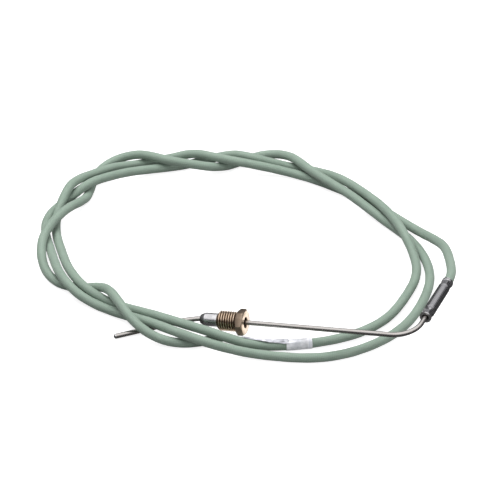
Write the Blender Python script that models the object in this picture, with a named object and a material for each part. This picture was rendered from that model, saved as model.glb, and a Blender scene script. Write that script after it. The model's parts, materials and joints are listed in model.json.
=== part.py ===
"""A mineral-insulated thermocouple with a sliding brass gland and a coiled two-core cable.

The object lies on a table the way it is packed: the thin steel probe runs under and over the
cable's turns, bends into a crimped steel sleeve, and the cable leaves the sleeve and makes three
braided turns. Units are metres, +Z is up, and the origin is at the centre of the object's
footprint, on the table.
"""
import math

import bmesh
import bpy
import numpy as np
from mathutils import Matrix, Vector

MM = 0.001

# ---- cable -------------------------------------------------------------------------------------
CABLE_RADIUS = 2.75 * MM
CABLE_BORE_RADIUS = 2.2 * MM
CABLE_CLEARANCE = 0.75 * MM
CABLE_STEP = 4 * MM
FACET_SAG = 0.28 * MM
SETTLE_STEPS = 180
STIFFNESS = 0.4
RETURN = 0.03
STRAND_PUSH = 0.5
PROBE_PUSH = 0.9
SAME_STRAND_LENGTH = 30 * MM
CONDUCTOR_OFFSET = 0.98 * MM
CONDUCTOR_RADIUS = 0.9 * MM
CONDUCTOR_BORE_RADIUS = 0.5 * MM
CORE_RADIUS = 0.4 * MM

# Each turn of the coil: (bearing from the coil's centre in degrees, radius in mm, height in mm).
# A height near 3 lies on the table, near 6 on the probe, and near 9 on another strand.
FIRST_TURN = [
    (-18, 129.5, 21.5), (-9, 123.5, 17.5), (0, 116, 11.5), (11, 109, 5.5), (21, 103.5, 3.5),
    (35, 99, 3), (55, 98, 3),
    (72, 100.5, 3.5), (82, 101, 5.5), (89, 100, 8.5), (95, 102, 9.5), (101, 107.5, 9),
    (107, 118, 5.5), (114, 125.5, 3), (124, 129, 4), (132, 129, 7), (140, 127.5, 9.5),
    (148, 127, 10.5), (154, 126.5, 9), (160, 124.5, 4.5), (168, 119.5, 3), (179, 113, 4),
    (190, 110.5, 7), (200, 110, 9.5), (207, 109, 9), (212, 104, 5), (219, 99, 3), (229, 96.5, 5.5),
    (240, 98, 8), (250, 99.5, 8), (258, 103, 9), (264, 107, 8), (271, 107, 4), (279, 110, 3.3),
    (290, 112.5, 3.3), (302, 115.5, 3.2), (316, 115.5, 3), (332, 110.5, 3), (347, 108, 3),
]
SECOND_TURN = [
    (-3, 103.5, 5.5), (5, 99.5, 9), (14, 97.5, 9.5), (27, 96.5, 9.5), (41, 97, 9), (53, 101, 7.5),
    (61, 107, 4.5), (70, 109, 3), (79, 109, 4.5), (86, 106, 8.5), (91, 108.5, 8), (96, 115, 5),
    (101, 117.5, 3), (109, 114, 3), (117, 116, 3), (126, 118.5, 5), (135, 119.5, 8), (142, 120, 9),
    (147, 125, 5.5), (154, 128, 3), (163, 128.5, 3), (172, 124, 3), (181, 118.5, 4.5),
    (191, 117, 7.5), (200, 117, 9.5), (206, 116, 8.5), (212, 110.5, 4), (221, 105, 3),
    (233, 104, 5.5), (245, 107.5, 8), (256, 113.5, 9), (263, 115, 6.5), (271, 116, 3.5),
    (282, 123, 3), (292, 129.5, 3), (303, 131, 3), (316, 129, 3), (332, 122, 3), (346, 116.5, 3),
]
THIRD_TURN = [
    (-4, 110.5, 3), (6, 104.5, 3), (16, 98, 3), (26, 92, 5), (38, 89, 8.5), (50, 90, 9.5),
    (59, 94, 9.5), (67, 101, 9.5), (74, 111, 8), (80, 119, 5.5), (85, 120, 3.5), (90, 113.5, 3),
    (96, 107, 3), (103, 103, 6.5), (110, 104, 9.5), (116, 114, 9.5), (121, 129, 7), (126, 140, 4),
    (132, 137, 3), (138, 129.5, 3), (145, 122, 3), (152, 118, 6), (160, 117.5, 9.5),
    (169, 120.5, 10.5), (177, 123.5, 8), (185, 124, 4), (192, 122, 3), (199, 118, 3),
    (203.5, 110, 3), (207, 102, 5.5), (213, 99.5, 9.5), (221, 102, 11.5), (229, 107.5, 11),
    (238, 113.5, 7.5), (246, 113.5, 4), (252, 110.5, 3), (257.5, 104.5, 3),
]
TAIL_POINTS = [(262.5, 100.5, 3)]
TAIL_HEADING = -8.0
TAIL_HEIGHT = 1.4 * MM
TAIL_START = 4 * MM
TAIL_LENGTH = 20 * MM
TAIL_SPREAD = [1.15 * MM, 1.3 * MM, 1.5 * MM]
TWIST_STATIONS = 14
BARE_LENGTH = 2.2 * MM
PIN_LENGTH = 11 * MM
PIN_COLLAR_LENGTH = 5.0 * MM
PIN_SOCKET_DEPTH = 3.2 * MM
PIN_RADIUS = 0.95 * MM
PIN_TIP_RADIUS = 0.7 * MM
LABEL_BEARING = 286.8
LABEL_LENGTH = 15 * MM
LABEL_RADIUS = 3.2 * MM
LABEL_BORE_RADIUS = 3.0 * MM

# ---- probe -------------------------------------------------------------------------------------
SHEATH_RADIUS = 1.5 * MM
SHEATH_BORE_RADIUS = 1.1 * MM
PROBE_HEADING = -19.0
PROBE_RISE = 6.4
GLAND_POINT = Vector((-14.51, -89.58, 9.0)) * MM
BEND_DISTANCE = 119.7 * MM
BEND_RADIUS = 15 * MM
PROBE_FRONT_POINTS = [(-75.5, -95.5, 1.7), (-62, -90, 1.9), (-49, -86.5, 3.2), (-38, -84.5, 5.2)]
STRAIGHT_FRONT = -12.8 * MM
TIP_LENGTH = 1.3 * MM
PLUG_DEPTH = 1.0 * MM
PLUG_RADIUS = 0.95 * MM
BEAD_START = 2.4 * MM
MINERAL_START = 4.5 * MM
MINERAL_RADIUS = 0.98 * MM
WIRE_OFFSET = 0.46 * MM
WIRE_RADIUS = 0.22 * MM
WIRE_BORE_RADIUS = 0.32 * MM
WIRE_SPREAD_LENGTH = 2.5 * MM
BEAD_RADIUS = 0.7 * MM

# ---- crimped sleeve between probe and cable; distances run from its end nearer the probe --------
SLEEVE_HEADING = 67.5
SLEEVE_RISE = 3.0
SLEEVE_START = 20.5 * MM
SLEEVE_LENGTH = 39 * MM
SLEEVE_RADIUS = 3.5 * MM
SLEEVE_BORE_RADIUS = 3.0 * MM
SLEEVE_NECK_BORE_RADIUS = 1.8 * MM
SLEEVE_NECK_LENGTH = 6.5 * MM
SLEEVE_NECK_STEP = 0.2 * MM
CRIMP_DEPTH = 0.3 * MM
SHEATH_IN_SLEEVE = 7.5 * MM
POTTING_START = 9 * MM
SPLICE_START = 17 * MM
SPLICE_END = 24.5 * MM
POTTING_END = 25 * MM
INSULATION_START = 25.4 * MM
CABLE_START = 27 * MM
SPLICE_RADIUS = 0.72 * MM
SPLICE_BORE_RADIUS = 0.5 * MM
POTTING_RADIUS = 2.8 * MM
POTTING_BORE_RADIUS = 0.82 * MM

# ---- gland: brass male nut and steel olive, both free on the probe ------------------------------
NUT_ACROSS_FLATS = 14 * MM
NUT_HEX_LENGTH = 4.5 * MM
NUT_THREAD_LENGTH = 12.2 * MM
NUT_THREAD_RADIUS = 5.95 * MM
NUT_THREAD_DEPTH = 0.9 * MM
NUT_THREAD_PITCH = 1.5 * MM
NUT_RELIEF_LENGTH = 2.1 * MM
NUT_BORE_RADIUS = 3.0 * MM
NUT_HEX_TURN = 50.0
NUT_BEVEL = 0.5 * MM
NUT_SIDES = 24
OLIVE_RADIUS = 4.0 * MM
OLIVE_NOSE_RADIUS = 2.7 * MM
OLIVE_BODY_LENGTH = 8 * MM
OLIVE_CONE_LENGTH = 3 * MM
OLIVE_BORE_RADIUS = 1.62 * MM
GLAND_GAP = 0.4 * MM

GAP = 0.3 * MM


# ---- small geometry helpers --------------------------------------------------------------------
def heading(degrees, rise=0.0):
    """Unit vector at a compass-like angle from +X, tilted up by `rise` degrees."""
    level = math.cos(math.radians(rise))
    angle = math.radians(degrees)
    return Vector((math.cos(angle) * level, math.sin(angle) * level, math.sin(math.radians(rise))))


def spline(points, step):
    """Centripetal Catmull-Rom curve through the points, sampled about every `step`."""
    points = [np.array(p, dtype=float) for p in points]
    ends = [2 * points[0] - points[1]] + points + [2 * points[-1] - points[-2]]
    curve = []
    for p0, p1, p2, p3 in zip(ends, ends[1:], ends[2:], ends[3:]):
        knots = [0.0]
        for a, b in ((p0, p1), (p1, p2), (p2, p3)):
            knots.append(knots[-1] + math.sqrt(np.linalg.norm(b - a)))
        t0, t1, t2, t3 = knots
        count = max(2, round(np.linalg.norm(p2 - p1) / step))
        for t in np.linspace(t1, t2, count, endpoint=False):
            a1 = ((t1 - t) * p0 + (t - t0) * p1) / (t1 - t0)
            a2 = ((t2 - t) * p1 + (t - t1) * p2) / (t2 - t1)
            a3 = ((t3 - t) * p2 + (t - t2) * p3) / (t3 - t2)
            b1 = ((t2 - t) * a1 + (t - t0) * a2) / (t2 - t0)
            b2 = ((t3 - t) * a2 + (t - t1) * a3) / (t3 - t1)
            curve.append(((t2 - t) * b1 + (t - t1) * b2) / (t2 - t1))
    curve.append(points[-1])
    return np.array(curve)


def transported_frames(points):
    """Tangent and two normals at each point, carried along the curve without twisting."""
    points = [Vector(p) for p in points]
    tangents = []
    for i in range(len(points)):
        before = points[max(i - 1, 0)]
        after = points[min(i + 1, len(points) - 1)]
        tangents.append((after - before).normalized())
    side = tangents[0].cross(Vector((0, 0, 1))).normalized()
    frames = []
    for tangent in tangents:
        side = (side - tangent * side.dot(tangent)).normalized()
        frames.append((tangent, side, tangent.cross(side)))
    return frames


def levelled(frames, count):
    """Twist the last `count` frames about their tangents until the final side lies level."""
    tangent, side, _ = frames[-1]
    level = tangent.cross(Vector((0, 0, 1))).normalized()
    angle = math.atan(side.cross(level).dot(tangent) / side.dot(level))
    result = list(frames[:-count])
    for i, (tangent, side, _) in enumerate(frames[-count:]):
        side = Matrix.Rotation(angle * (i + 1) / count, 3, tangent) @ side
        result.append((tangent, side, tangent.cross(side)))
    return result


def polar_point(bearing, radius, height):
    angle = math.radians(bearing)
    return (radius * math.cos(angle) * MM, radius * math.sin(angle) * MM, height * MM)


# ---- the probe's and the cable's centre lines --------------------------------------------------
PROBE_AXIS = heading(PROBE_HEADING, PROBE_RISE)
SLEEVE_AXIS = heading(SLEEVE_HEADING, SLEEVE_RISE)
BEND_CORNER = GLAND_POINT + PROBE_AXIS * BEND_DISTANCE


def bend_points(steps):
    """Arc that joins the straight probe to the sleeve's axis."""
    turn = PROBE_AXIS.angle(SLEEVE_AXIS)
    reach = BEND_RADIUS * math.tan(turn / 2)
    start = BEND_CORNER - PROBE_AXIS * reach
    inward = (SLEEVE_AXIS - PROBE_AXIS * SLEEVE_AXIS.dot(PROBE_AXIS)).normalized()
    arc = []
    for i in range(steps + 1):
        angle = turn * i / steps
        arc.append(start + PROBE_AXIS * BEND_RADIUS * math.sin(angle)
                   + inward * BEND_RADIUS * (1 - math.cos(angle)))
    return arc


def sleeve_point(distance):
    """Point on the sleeve's axis, measured from its end nearer the probe."""
    return BEND_CORNER + SLEEVE_AXIS * (SLEEVE_START + distance)


def probe_line():
    """Stations along the probe's centre line, from the tip to its end inside the sleeve."""
    straight_start = GLAND_POINT + PROBE_AXIS * STRAIGHT_FRONT
    front = [Vector(p) * MM for p in PROBE_FRONT_POINTS]
    guide = front + [straight_start, straight_start + PROBE_AXIS * 3 * MM]
    curve = [Vector(p) for p in spline(guide, 5 * MM)]
    return curve + bend_points(8) + [sleeve_point(SHEATH_IN_SLEEVE)]


def push_apart(points, others, distance, skip):
    """Shift that moves every point out of the others' reach; `skip` marks pairs left alone."""
    offset = points[:, None, :] - others[None, :, :]
    length = np.linalg.norm(offset, axis=2) + 1e-9
    overlap = np.clip(distance - length, 0, None)
    overlap[skip] = 0
    weight = np.maximum((overlap > 0).sum(axis=1), 1)
    return (offset / length[..., None] * overlap[..., None]).sum(axis=1) / weight[:, None]


def settle(points, fixed, probe):
    """Let the cable's strands push each other, the probe and the table apart until they clear."""
    count = len(points)
    step = np.linalg.norm(np.diff(points, axis=0), axis=1).mean()
    index = np.arange(count)
    near = np.abs(index[:, None] - index[None, :]) * step < SAME_STRAND_LENGTH
    no_skip = np.zeros((count, len(probe)), dtype=bool)
    strand_distance = 2 * CABLE_RADIUS + CABLE_CLEARANCE
    probe_distance = CABLE_RADIUS + SHEATH_RADIUS + CABLE_CLEARANCE
    home = points.copy()
    for round_index in range(SETTLE_STEPS):
        move = STRAND_PUSH * push_apart(points, points, strand_distance, near)
        move += PROBE_PUSH * push_apart(points, probe, probe_distance, no_skip)
        curl = np.zeros_like(points)
        curl[1:-1] = (points[:-2] + points[2:]) / 2 - points[1:-1]
        bend = curl.copy()
        bend[1:-1] = (curl[:-2] + curl[2:]) / 2 - curl[1:-1]
        move -= STIFFNESS * (1 - 0.6 * round_index / SETTLE_STEPS) * bend
        if round_index < SETTLE_STEPS / 2:
            move += RETURN * (home - points)
        move[fixed] = 0
        points = points + move
        points[:, 2] = np.maximum(points[:, 2], CABLE_RADIUS)
    return points


def evenly_spaced(points, step):
    lengths = np.concatenate([[0], np.cumsum(np.linalg.norm(np.diff(points, axis=0), axis=1))])
    places = np.linspace(0, lengths[-1], round(lengths[-1] / step) + 1)
    return np.array([[np.interp(s, lengths, points[:, k]) for k in range(3)] for s in places])


def thinned(points):
    """Indices of the stations that keep every straight facet within FACET_SAG of the curve."""
    kept = [0]
    while kept[-1] < len(points) - 1:
        start = kept[-1]
        end = start + 1
        while end + 1 < len(points):
            chord = points[end + 1] - points[start]
            chord /= np.linalg.norm(chord)
            between = points[start + 1:end + 1] - points[start]
            sag = np.linalg.norm(np.cross(between, chord), axis=1).max()
            if sag > FACET_SAG:
                break
            end += 1
        kept.append(end)
    return kept


def cable_line():
    """The cable's fine centre line from its end in the sleeve to the cut end of its jacket."""
    start = sleeve_point(CABLE_START)
    mouth = sleeve_point(SLEEVE_LENGTH)
    lead = [start, mouth, mouth + SLEEVE_AXIS * 7 * MM]
    guide = [tuple(p) for p in lead]
    for turn in (FIRST_TURN, SECOND_TURN, THIRD_TURN, TAIL_POINTS):
        guide += [polar_point(*p) for p in turn]
    points = evenly_spaced(spline(guide, 2 * MM), CABLE_STEP)
    held = np.zeros(len(points), dtype=bool)
    held[:round((SLEEVE_LENGTH - CABLE_START + 6 * MM) / CABLE_STEP)] = True
    held[-1] = True
    probe = evenly_spaced(np.array([tuple(p) for p in probe_line()]), 2.0 * MM)
    return settle(points, held, probe)


# ---- Blender objects ---------------------------------------------------------------------------
def material(name, colour, roughness, metallic=0.0, transmission=0.0):
    mat = bpy.data.materials.new(name)
    mat.use_nodes = True
    mat.diffuse_color = (*colour, 1.0)
    shader = mat.node_tree.nodes["Principled BSDF"]
    shader.inputs["Base Color"].default_value = (*colour, 1.0)
    shader.inputs["Roughness"].default_value = roughness
    shader.inputs["Metallic"].default_value = metallic
    shader.inputs["Transmission Weight"].default_value = transmission
    return mat


def add_object(name, bm, mat, matrix=None):
    """Turn a bmesh into an object; `matrix` is its place in the world."""
    bmesh.ops.recalc_face_normals(bm, faces=bm.faces)
    mesh = bpy.data.meshes.new(name)
    bm.to_mesh(mesh)
    bm.free()
    mesh.materials.append(mat)
    mesh.shade_smooth()
    mesh.set_sharp_from_angle(angle=math.radians(40))
    obj = bpy.data.objects.new(name, mesh)
    if matrix is not None:
        obj.matrix_world = matrix
    bpy.context.collection.objects.link(obj)
    return obj


def ring(bm, frame, centre, radius, sides):
    _, side, up = frame
    turns = [2 * math.pi * k / sides for k in range(sides)]
    return [bm.verts.new(centre + (side * math.cos(a) + up * math.sin(a)) * radius) for a in turns]


def wall(bm, rings):
    for lower, upper in zip(rings, rings[1:]):
        for k in range(len(lower)):
            n = (k + 1) % len(lower)
            bm.faces.new((lower[k], lower[n], upper[n], upper[k]))


def end_cap(bm, outer, inner):
    """Close one end of a tube: a disc, or the land between its outer and inner rings."""
    if inner is None:
        bm.faces.new(outer)
        return
    edges = [bm.edges.get((r[k], r[(k + 1) % len(r)])) for r in (outer, inner) for k in range(len(r))]
    bmesh.ops.triangle_fill(bm, use_beauty=True, edges=edges)


def swept(name, mat, centres, frames, radius, sides, bore=None, bore_sides=None):
    """A tube, or a solid rod when it has no bore, swept through the given stations."""
    bm = bmesh.new()
    outer = [ring(bm, f, Vector(c), radius, sides) for c, f in zip(centres, frames)]
    wall(bm, outer)
    inner = None
    if bore:
        inner = [ring(bm, f, Vector(c), bore, bore_sides or sides) for c, f in zip(centres, frames)]
        wall(bm, inner)
    for end in (0, -1):
        end_cap(bm, outer[end], inner[end] if inner else None)
    return add_object(name, bm, mat)


def along(axis, origin):
    """Matrix whose local +Z runs along `axis` from `origin`."""
    side = axis.cross(Vector((0, 0, 1))).normalized()
    basis = Matrix((side, axis.cross(side), axis)).transposed()
    return Matrix.Translation(origin) @ basis.to_4x4()


def turned(name, mat, profile, sides, matrix):
    """A closed (radius, height) profile turned about local Z; radius 0 makes a pole."""
    bm = bmesh.new()
    rows = []
    for radius, height in profile:
        if radius == 0:
            rows.append([bm.verts.new((0, 0, height))])
            continue
        turns = [2 * math.pi * k / sides for k in range(sides)]
        rows.append([bm.verts.new((radius * math.cos(a), radius * math.sin(a), height))
                     for a in turns])
    closed = zip(rows, rows[1:] + rows[:1])
    for lower, upper in closed:
        for k in range(sides):
            n = (k + 1) % sides
            corners = [lower[k % len(lower)], lower[n % len(lower)],
                       upper[n % len(upper)], upper[k % len(upper)]]
            unique = list(dict.fromkeys(corners))
            if len(unique) > 2:
                bm.faces.new(unique)
    return add_object(name, bm, mat, matrix)


def cut(obj, cutters):
    """Subtract the cutters, which stay in the file as hidden wire guides."""
    for cutter in cutters:
        cutter.hide_render = True
        cutter.display_type = 'WIRE'
        hole = obj.modifiers.new(cutter.name, 'BOOLEAN')
        hole.operation = 'DIFFERENCE'
        hole.solver = 'EXACT'
        hole.object = cutter


def shifted(centres, frames, offset):
    return [Vector(c) + f[1] * offset for c, f in zip(centres, frames)]


# ---- the probe ---------------------------------------------------------------------------------
def build_probe(steel, ceramic, nichrome, nickel):
    line = probe_line()
    frames = transported_frames(line)
    swept("probe_sheath", steel, line, frames, SHEATH_RADIUS, 12, SHEATH_BORE_RADIUS, 12)

    tip_axis = -frames[0][0]
    seam = 0.08 * MM
    plug = [(0, -PLUG_DEPTH), (PLUG_RADIUS, -PLUG_DEPTH), (PLUG_RADIUS, seam), (SHEATH_RADIUS, seam),
            (SHEATH_RADIUS - 0.05 * MM, 0.6 * MM), (1.0 * MM, 1.1 * MM), (0, TIP_LENGTH)]
    turned("tip_plug", steel, plug, 12, along(tip_axis, line[0]))

    core_start = line[0] + frames[0][0] * MINERAL_START
    core_line = [core_start] + line[1:-1] + [line[-1] - frames[-1][0] * 0.5 * MM]
    core_frames = transported_frames(core_line)
    core = swept("mineral_insulation", ceramic, core_line, core_frames, MINERAL_RADIUS, 12)
    wire_line = [core_start - frames[0][0] * 1.0 * MM] + line[1:]
    wire_line += [sleeve_point(d) for d in
                  (POTTING_START, POTTING_START + WIRE_SPREAD_LENGTH, SPLICE_START + 3 * MM)]
    bore_line = [core_start - frames[0][0] * 1.5 * MM] + line[1:]
    bore_frames = transported_frames(bore_line)
    wire_frames = transported_frames(wire_line)
    spread = [WIRE_OFFSET] * len(line) + [0.8 * MM, CONDUCTOR_OFFSET, CONDUCTOR_OFFSET]
    bores = []
    for label, mat, sign in (("positive", nichrome, 1), ("negative", nickel, -1)):
        centres = [c + f[1] * sign * d for c, f, d in zip(wire_line, wire_frames, spread)]
        swept(f"thermo_wire_{label}", mat, centres, wire_frames, WIRE_RADIUS, 6)
        bores.append(swept(f"bore_guide_{label}", ceramic,
                           shifted(bore_line, bore_frames, sign * WIRE_OFFSET), bore_frames,
                           WIRE_BORE_RADIUS, 6))
    cut(core, bores)

    bead = [(0, -BEAD_RADIUS)]
    bead += [(BEAD_RADIUS * math.sin(math.radians(a)), -BEAD_RADIUS * math.cos(math.radians(a)))
             for a in (45, 90, 135)]
    bead.append((0, BEAD_RADIUS))
    turned("hot_junction_bead", nickel, bead, 8, along(tip_axis, line[0] - tip_axis * BEAD_START))


# ---- the crimped sleeve ------------------------------------------------------------------------
def build_sleeve(steel, resin, nickel):
    end = SLEEVE_LENGTH
    crimp = SLEEVE_RADIUS - CRIMP_DEPTH
    neck = SLEEVE_RADIUS - SLEEVE_NECK_STEP
    profile = [
        (SLEEVE_NECK_BORE_RADIUS, 0), (neck - 0.7 * MM, 0), (neck, 1.0 * MM), (neck, 3.0 * MM),
        (crimp, 3.6 * MM), (crimp, 5.0 * MM), (SLEEVE_RADIUS, 5.8 * MM),
        (SLEEVE_RADIUS, end - 9 * MM), (crimp, end - 8.2 * MM), (crimp, end - 6.6 * MM),
        (SLEEVE_RADIUS, end - 5.8 * MM), (SLEEVE_RADIUS, end), (SLEEVE_BORE_RADIUS, end),
        (SLEEVE_BORE_RADIUS, SLEEVE_NECK_LENGTH), (SLEEVE_NECK_BORE_RADIUS, SLEEVE_NECK_LENGTH),
    ]
    frame = along(SLEEVE_AXIS, sleeve_point(0))
    turned("transition_sleeve", steel, profile, 16, frame)

    core = [sleeve_point(POTTING_START), sleeve_point(POTTING_END)]
    frames = transported_frames(core)
    potting = swept("sleeve_potting", resin, core, frames, POTTING_RADIUS, 16)
    cuts = [sleeve_point(POTTING_START - 1 * MM), sleeve_point(POTTING_END + 1 * MM)]
    splice = [sleeve_point(SPLICE_START), sleeve_point(SPLICE_END)]
    channels = []
    for label, sign in (("positive", 1), ("negative", -1)):
        offset = sign * CONDUCTOR_OFFSET
        swept(f"splice_barrel_{label}", nickel, shifted(splice, frames, offset), frames,
              SPLICE_RADIUS, 8, SPLICE_BORE_RADIUS, 8)
        channels.append(swept(f"channel_guide_{label}", resin, shifted(cuts, frames, offset),
                              frames, POTTING_BORE_RADIUS, 8))
    cut(potting, channels)


# ---- the cable and its tail --------------------------------------------------------------------
def build_cable(jacket_mat, green, white, core_mat, nickel, label_mat):
    fine = cable_line()
    kept = thinned(fine)
    jacket_line = [Vector(fine[i]) for i in kept]
    jacket_frames = transported_frames(jacket_line)
    swept("cable_jacket", jacket_mat, jacket_line, jacket_frames, CABLE_RADIUS, 8,
          CABLE_BORE_RADIUS, 6)

    # the two conductors run from the splices, through the jacket, and out at the tail
    inlet = sleeve_point(INSULATION_START)
    tail = [jacket_line[-1] + jacket_frames[-1][0] * TAIL_START]
    for k in range(len(TAIL_SPREAD)):
        point = tail[0] + heading(TAIL_HEADING) * TAIL_LENGTH * (k + 1) / len(TAIL_SPREAD)
        point.z = TAIL_HEIGHT
        tail.append(point)
    line = [inlet] + jacket_line + tail
    frames = levelled(transported_frames(line), TWIST_STATIONS)
    spread = [CONDUCTOR_OFFSET] * (len(line) - len(TAIL_SPREAD)) + TAIL_SPREAD
    for label, mat, sign in (("positive", green, 1), ("negative", white, -1)):
        centres = [c + f[1] * sign * d for c, f, d in zip(line, frames, spread)]
        swept(f"conductor_insulation_{label}", mat, centres, frames, CONDUCTOR_RADIUS, 5,
              CONDUCTOR_BORE_RADIUS, 4)
        core_line = [centres[0] - frames[0][0] * BARE_LENGTH] + centres[1:-1]
        core_line.append(centres[-1] + frames[-1][0] * BARE_LENGTH)
        swept(f"conductor_core_{label}", core_mat, core_line, frames, CORE_RADIUS, 4)
        build_pin(label, nickel, centres[-1], frames[-1][0])
    build_label(fine, label_mat)


def build_pin(label, mat, wire_end, axis):
    """A crimped ferrule pin whose socket holds the conductor's bare end."""
    socket = CORE_RADIUS + GAP / 2
    chamfer = 0.6 * MM
    shank_end = PIN_LENGTH - chamfer
    profile = [(socket, 0), (PIN_RADIUS, 0), (PIN_RADIUS, PIN_COLLAR_LENGTH),
               (PIN_TIP_RADIUS, PIN_COLLAR_LENGTH + chamfer), (PIN_TIP_RADIUS, shank_end),
               (PIN_TIP_RADIUS - 0.3 * MM, PIN_LENGTH), (0, PIN_LENGTH), (0, PIN_SOCKET_DEPTH),
               (socket, PIN_SOCKET_DEPTH)]
    turned(f"tail_pin_{label}", mat, profile, 10, along(axis, wire_end + axis * GAP))


def build_label(fine, label_mat):
    """A loose clear sleeve with a blank label, round the first turn near its front."""
    bearings = np.degrees(np.arctan2(fine[:, 1], fine[:, 0])) % 360
    first_turn = np.arange(len(fine)) < len(fine) * 0.4
    middle = int(np.argmin(np.where(first_turn, np.abs(bearings - LABEL_BEARING), 1e3)))
    step = np.linalg.norm(fine[middle + 1] - fine[middle])
    half = round(LABEL_LENGTH / step / 2)
    line = fine[middle - half:middle + half + 1]
    swept("label_sleeve", label_mat, line, transported_frames(line), LABEL_RADIUS, 12,
          LABEL_BORE_RADIUS, 12)


# ---- the gland ---------------------------------------------------------------------------------
def thread_profile(start, length, pitch):
    """Outline of the thread's ridges, from `start` up along the axis."""
    outline = []
    root = NUT_THREAD_RADIUS - NUT_THREAD_DEPTH
    for i in range(round(length / pitch)):
        base = start + i * pitch
        outline += [(root, base + 0.08 * pitch), (NUT_THREAD_RADIUS, base + 0.45 * pitch),
                    (NUT_THREAD_RADIUS, base + 0.6 * pitch)]
    outline.append((root, start + length))
    return outline


def build_gland(brass, steel):
    """Both pieces stand on the probe's axis; the nut's local +Z points back to the sleeve."""
    nut_frame = along(PROBE_AXIS, GLAND_POINT) @ Matrix.Rotation(math.radians(NUT_HEX_TURN), 4, 'Z')
    hex_start = NUT_THREAD_LENGTH
    threaded = NUT_THREAD_LENGTH - NUT_RELIEF_LENGTH
    ridges = NUT_THREAD_PITCH * math.floor(threaded / NUT_THREAD_PITCH)
    root = NUT_THREAD_RADIUS - NUT_THREAD_DEPTH
    lead = threaded - ridges
    thread = [(NUT_BORE_RADIUS, 0), (root, 0)] + thread_profile(lead, ridges, NUT_THREAD_PITCH)
    thread += [(root, hex_start + 1 * MM), (NUT_BORE_RADIUS, hex_start + 1 * MM)]
    shank = turned("gland_nut", brass, thread, NUT_SIDES, nut_frame)

    corner = NUT_ACROSS_FLATS / 2 / math.cos(math.radians(30))
    axes = (None, Vector((1, 0, 0)), Vector((0, 1, 0)))
    shoulder = Vector((0, 0, hex_start))
    end_face = Vector((0, 0, hex_start + NUT_HEX_LENGTH))
    bevel_start = end_face - Vector((0, 0, NUT_BEVEL))
    bm = bmesh.new()
    outer = [ring(bm, axes, shoulder, corner, 6), ring(bm, axes, bevel_start, corner, 6),
             ring(bm, axes, end_face, corner - NUT_BEVEL, 6)]
    inner = [ring(bm, axes, c, NUT_BORE_RADIUS, NUT_SIDES) for c in (shoulder, end_face)]
    wall(bm, outer)
    wall(bm, inner)
    end_cap(bm, outer[0], inner[0])
    end_cap(bm, outer[-1], inner[-1])
    head = add_object("nut_head_guide", bm, brass, nut_frame)
    head.hide_render = True
    head.display_type = 'WIRE'
    join = shank.modifiers.new("head", 'BOOLEAN')
    join.operation = 'UNION'
    join.solver = 'EXACT'
    join.object = head

    olive_start = -GLAND_GAP - OLIVE_BODY_LENGTH
    olive = [
        (OLIVE_BORE_RADIUS, olive_start - OLIVE_CONE_LENGTH),
        (OLIVE_NOSE_RADIUS, olive_start - OLIVE_CONE_LENGTH),
        (OLIVE_RADIUS, olive_start), (OLIVE_RADIUS, -GLAND_GAP - 0.4 * MM),
        (OLIVE_RADIUS - 0.4 * MM, -GLAND_GAP), (OLIVE_BORE_RADIUS, -GLAND_GAP),
    ]
    turned("olive", steel, olive, NUT_SIDES, along(PROBE_AXIS, GLAND_POINT))


def centre_on_footprint():
    """Hang every object under one empty that puts the footprint's centre at the origin."""
    bpy.context.view_layer.update()
    shown = [o for o in bpy.data.objects if o.type == 'MESH' and not o.hide_render]
    corners = [o.matrix_world @ v.co for o in shown for v in o.data.vertices]
    low = [min(c[k] for c in corners) for k in range(3)]
    high = [max(c[k] for c in corners) for k in range(3)]
    base = bpy.data.objects.new("thermocouple", None)
    bpy.context.collection.objects.link(base)
    for obj in [o for o in bpy.data.objects if o.type == 'MESH']:
        obj.parent = base
    base.location = (-(low[0] + high[0]) / 2, -(low[1] + high[1]) / 2, -low[2])
    bpy.context.view_layer.update()


def main():
    for obj in list(bpy.data.objects):
        bpy.data.objects.remove(obj, do_unlink=True)
    steel = material("sheath_steel", (0.52, 0.50, 0.48), 0.32, 1.0)
    olive_steel = material("olive_steel", (0.62, 0.62, 0.62), 0.22, 1.0)
    sleeve_steel = material("sleeve_steel", (0.20, 0.20, 0.21), 0.38, 1.0)
    brass = material("brass", (0.62, 0.46, 0.30), 0.28, 1.0)
    jacket = material("sage_silicone", (0.27, 0.34, 0.28), 0.55)
    green = material("green_insulation", (0.05, 0.30, 0.10), 0.5)
    white = material("white_insulation", (0.78, 0.78, 0.76), 0.5)
    nickel = material("nickel", (0.55, 0.54, 0.50), 0.3, 1.0)
    nichrome = material("nickel_chromium", (0.45, 0.44, 0.43), 0.35, 1.0)
    ceramic = material("magnesia", (0.85, 0.84, 0.80), 0.9)
    resin = material("potting_resin", (0.12, 0.10, 0.08), 0.6)
    label = material("clear_label", (0.80, 0.82, 0.88), 0.25, 0.0, 0.3)
    build_probe(steel, ceramic, nichrome, nickel)
    build_sleeve(sleeve_steel, resin, nickel)
    build_cable(jacket, green, white, nichrome, nickel, label)
    build_gland(brass, olive_steel)
    centre_on_footprint()


main()
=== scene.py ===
"""The finished look of the thermocouple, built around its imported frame.

Every place comes from the frame: centre lines are read back from the rings of the swept solids, the
gland's axis from its joint, and lengths from how far the solids reach. Units are metres. A piece's
UV map holds millimetres along the piece and turns around it.
"""
import json
import math

import bmesh
import bpy
import numpy as np
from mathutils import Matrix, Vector, noise


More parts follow.
